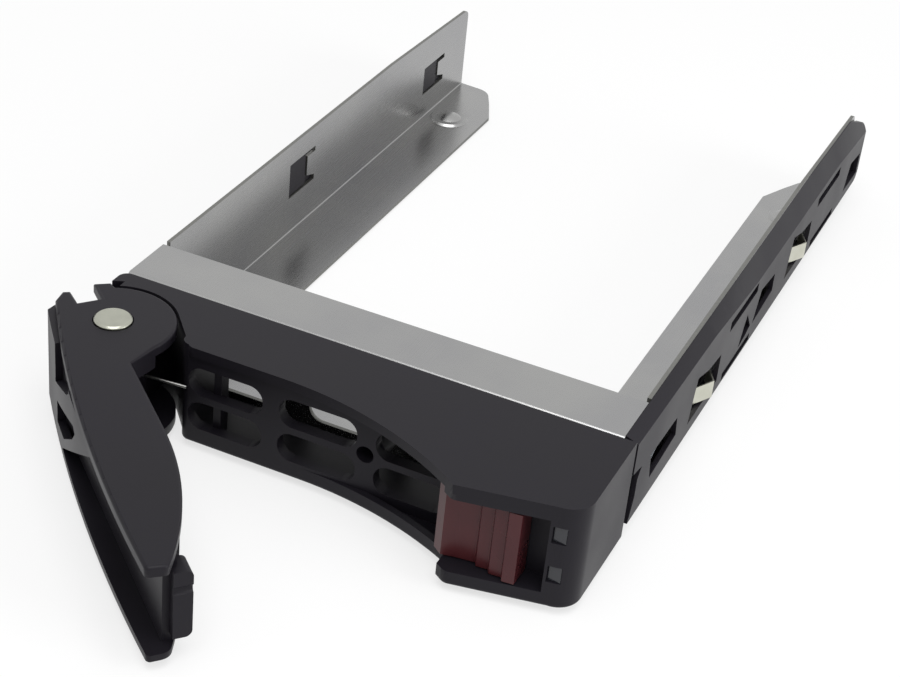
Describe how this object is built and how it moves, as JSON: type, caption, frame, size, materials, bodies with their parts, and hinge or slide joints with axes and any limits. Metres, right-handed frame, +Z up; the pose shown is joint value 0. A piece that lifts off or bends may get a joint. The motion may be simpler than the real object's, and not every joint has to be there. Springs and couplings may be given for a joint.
{
  "type": "drive caddy",
  "caption": "Hot swap caddy for a 3.5 inch drive: open steel tray, vented plastic bezel, sprung release lever and push button, side rails with spring strips.",
  "frame": {"origin": "middle of the tray's width, in the plane where bezel and tray meet, at the level of the tray's underside", "axes": "+X right seen from the front, +Y into the bay along the tray, +Z up"},
  "size_m": [0.1144, 0.2389, 0.0236],
  "materials": {
    "zinc_sheet": "semi-gloss galvanised sheet",
    "black_plastic": "fine moulded texture",
    "red_plastic": "satin, dark dull red",
    "clear_plastic": "clear moulded",
    "spring_strip": "satin",
    "rivet_steel": "satin plated",
    "spring_wire": "drawn wire"
  },
  "bodies": {
    "caddy": {"tray_frame": "zinc_sheet", "front_bezel": "black_plastic", "pivot_pin": "rivet_steel", "pivot_ring": "rivet_steel", "handle_spring": "spring_wire", "button_spring": "spring_wire", "upper_light_pipe": "clear_plastic", "lower_light_pipe": "clear_plastic", "right_rail": "black_plastic", "left_rail": "black_plastic", "front_side_spring": "spring_strip", "rear_side_spring": "spring_strip", "side_spring_rivets": "rivet_steel", "bezel_screw": "rivet_steel"},
    "lever": {"release_handle": "black_plastic"},
    "button": {"release_button": "red_plastic"}
  },
  "joints": [
    {"name": "lever_hinge", "type": "hinge", "parent": "caddy", "child": "lever", "pos_m": [-0.0448, -0.016, 0.012], "axis": [0, 0, 1], "range_deg": [0, 42], "stiffness_Nm_per_rad": 0.05, "springref_deg": -20.05, "deforming": ["handle_spring"]},
    {"name": "button_slide", "type": "slide", "parent": "caddy", "child": "button", "axis": [1, 0, 0], "range_m": [0, 0.004], "stiffness_N_per_m": 800, "springref_m": -0.002, "deforming": ["button_spring"]}
  ]
}
